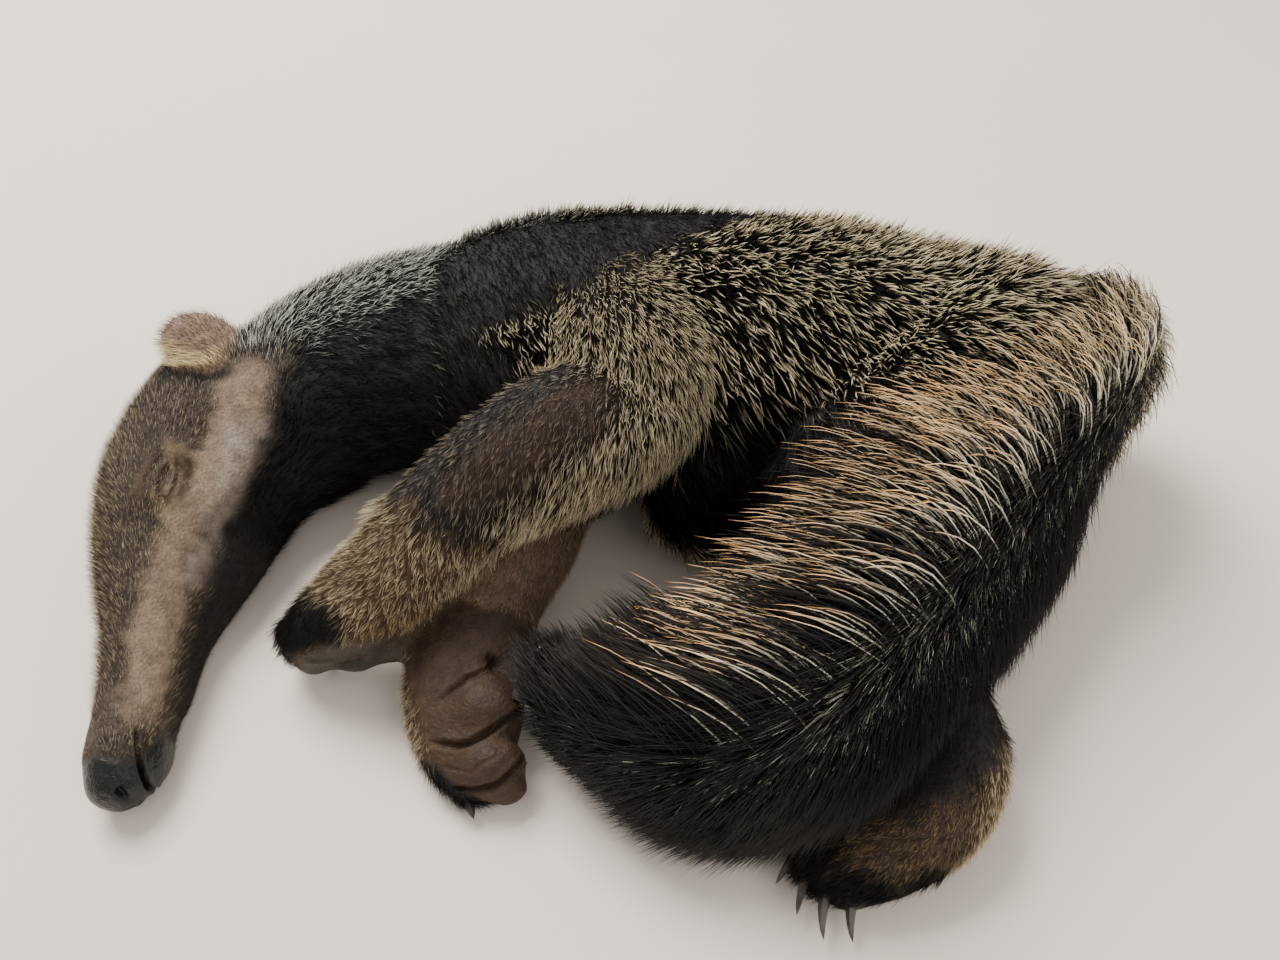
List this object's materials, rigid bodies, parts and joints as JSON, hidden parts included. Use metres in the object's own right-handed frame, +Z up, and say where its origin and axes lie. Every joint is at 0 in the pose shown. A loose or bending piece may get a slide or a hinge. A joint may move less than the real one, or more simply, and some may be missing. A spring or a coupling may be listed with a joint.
{
  "type": "giant anteater pup",
  "caption": "Newborn giant anteater lying curled on its side, eyes closed, with a long snout, folded clawed feet and a long-haired tail drawn forward.",
  "frame": {"origin": "middle of the model's footprint, on the floor it lies on", "axes": "+X from the nose side to the rump, +Y from the paws to the back, +Z up from the floor"},
  "size_m": [0.3212, 0.2166, 0.0828],
  "materials": {
    "coat_head": "short soft fur, matte",
    "coat_black": "long dark coat, silky",
    "coat_grizzled": "grizzled coat, matte",
    "coat_tan": "short tan fur, matte",
    "pad_skin": "bare wrinkled skin, satin",
    "horn": "keratin, satin"
  },
  "bodies": {
    "root": {"ear_left": "coat_tan", "ear_right": "coat_tan", "fore_claw_left_1": "horn", "fore_claw_left_2": "horn", "fore_claw_right_1": "horn", "fore_claw_right_2": "horn", "forearm_left": "coat_tan", "forearm_right": "coat_tan", "forepaw_left": "pad_skin", "forepaw_right": "pad_skin", "head": "coat_head", "hind_claw_left_1": "horn", "hind_claw_left_2": "horn", "hind_claw_left_3": "horn", "hind_claw_left_4": "horn", "hind_claw_left_5": "horn", "hind_claw_right_1": "horn", "hind_claw_right_2": "horn", "hind_claw_right_3": "horn", "hind_foot_left": "coat_tan", "hind_foot_right": "coat_tan", "neck": "coat_black", "shin_left": "coat_black", "shin_right": "coat_black", "tail_base": "coat_black", "tail_end": "coat_black", "tail_middle": "coat_black", "thigh_left": "coat_black", "thigh_right": "coat_black", "torso": "coat_grizzled", "upper_arm_left": "coat_grizzled", "upper_arm_right": "coat_grizzled"}
  },
  "joints": []
}
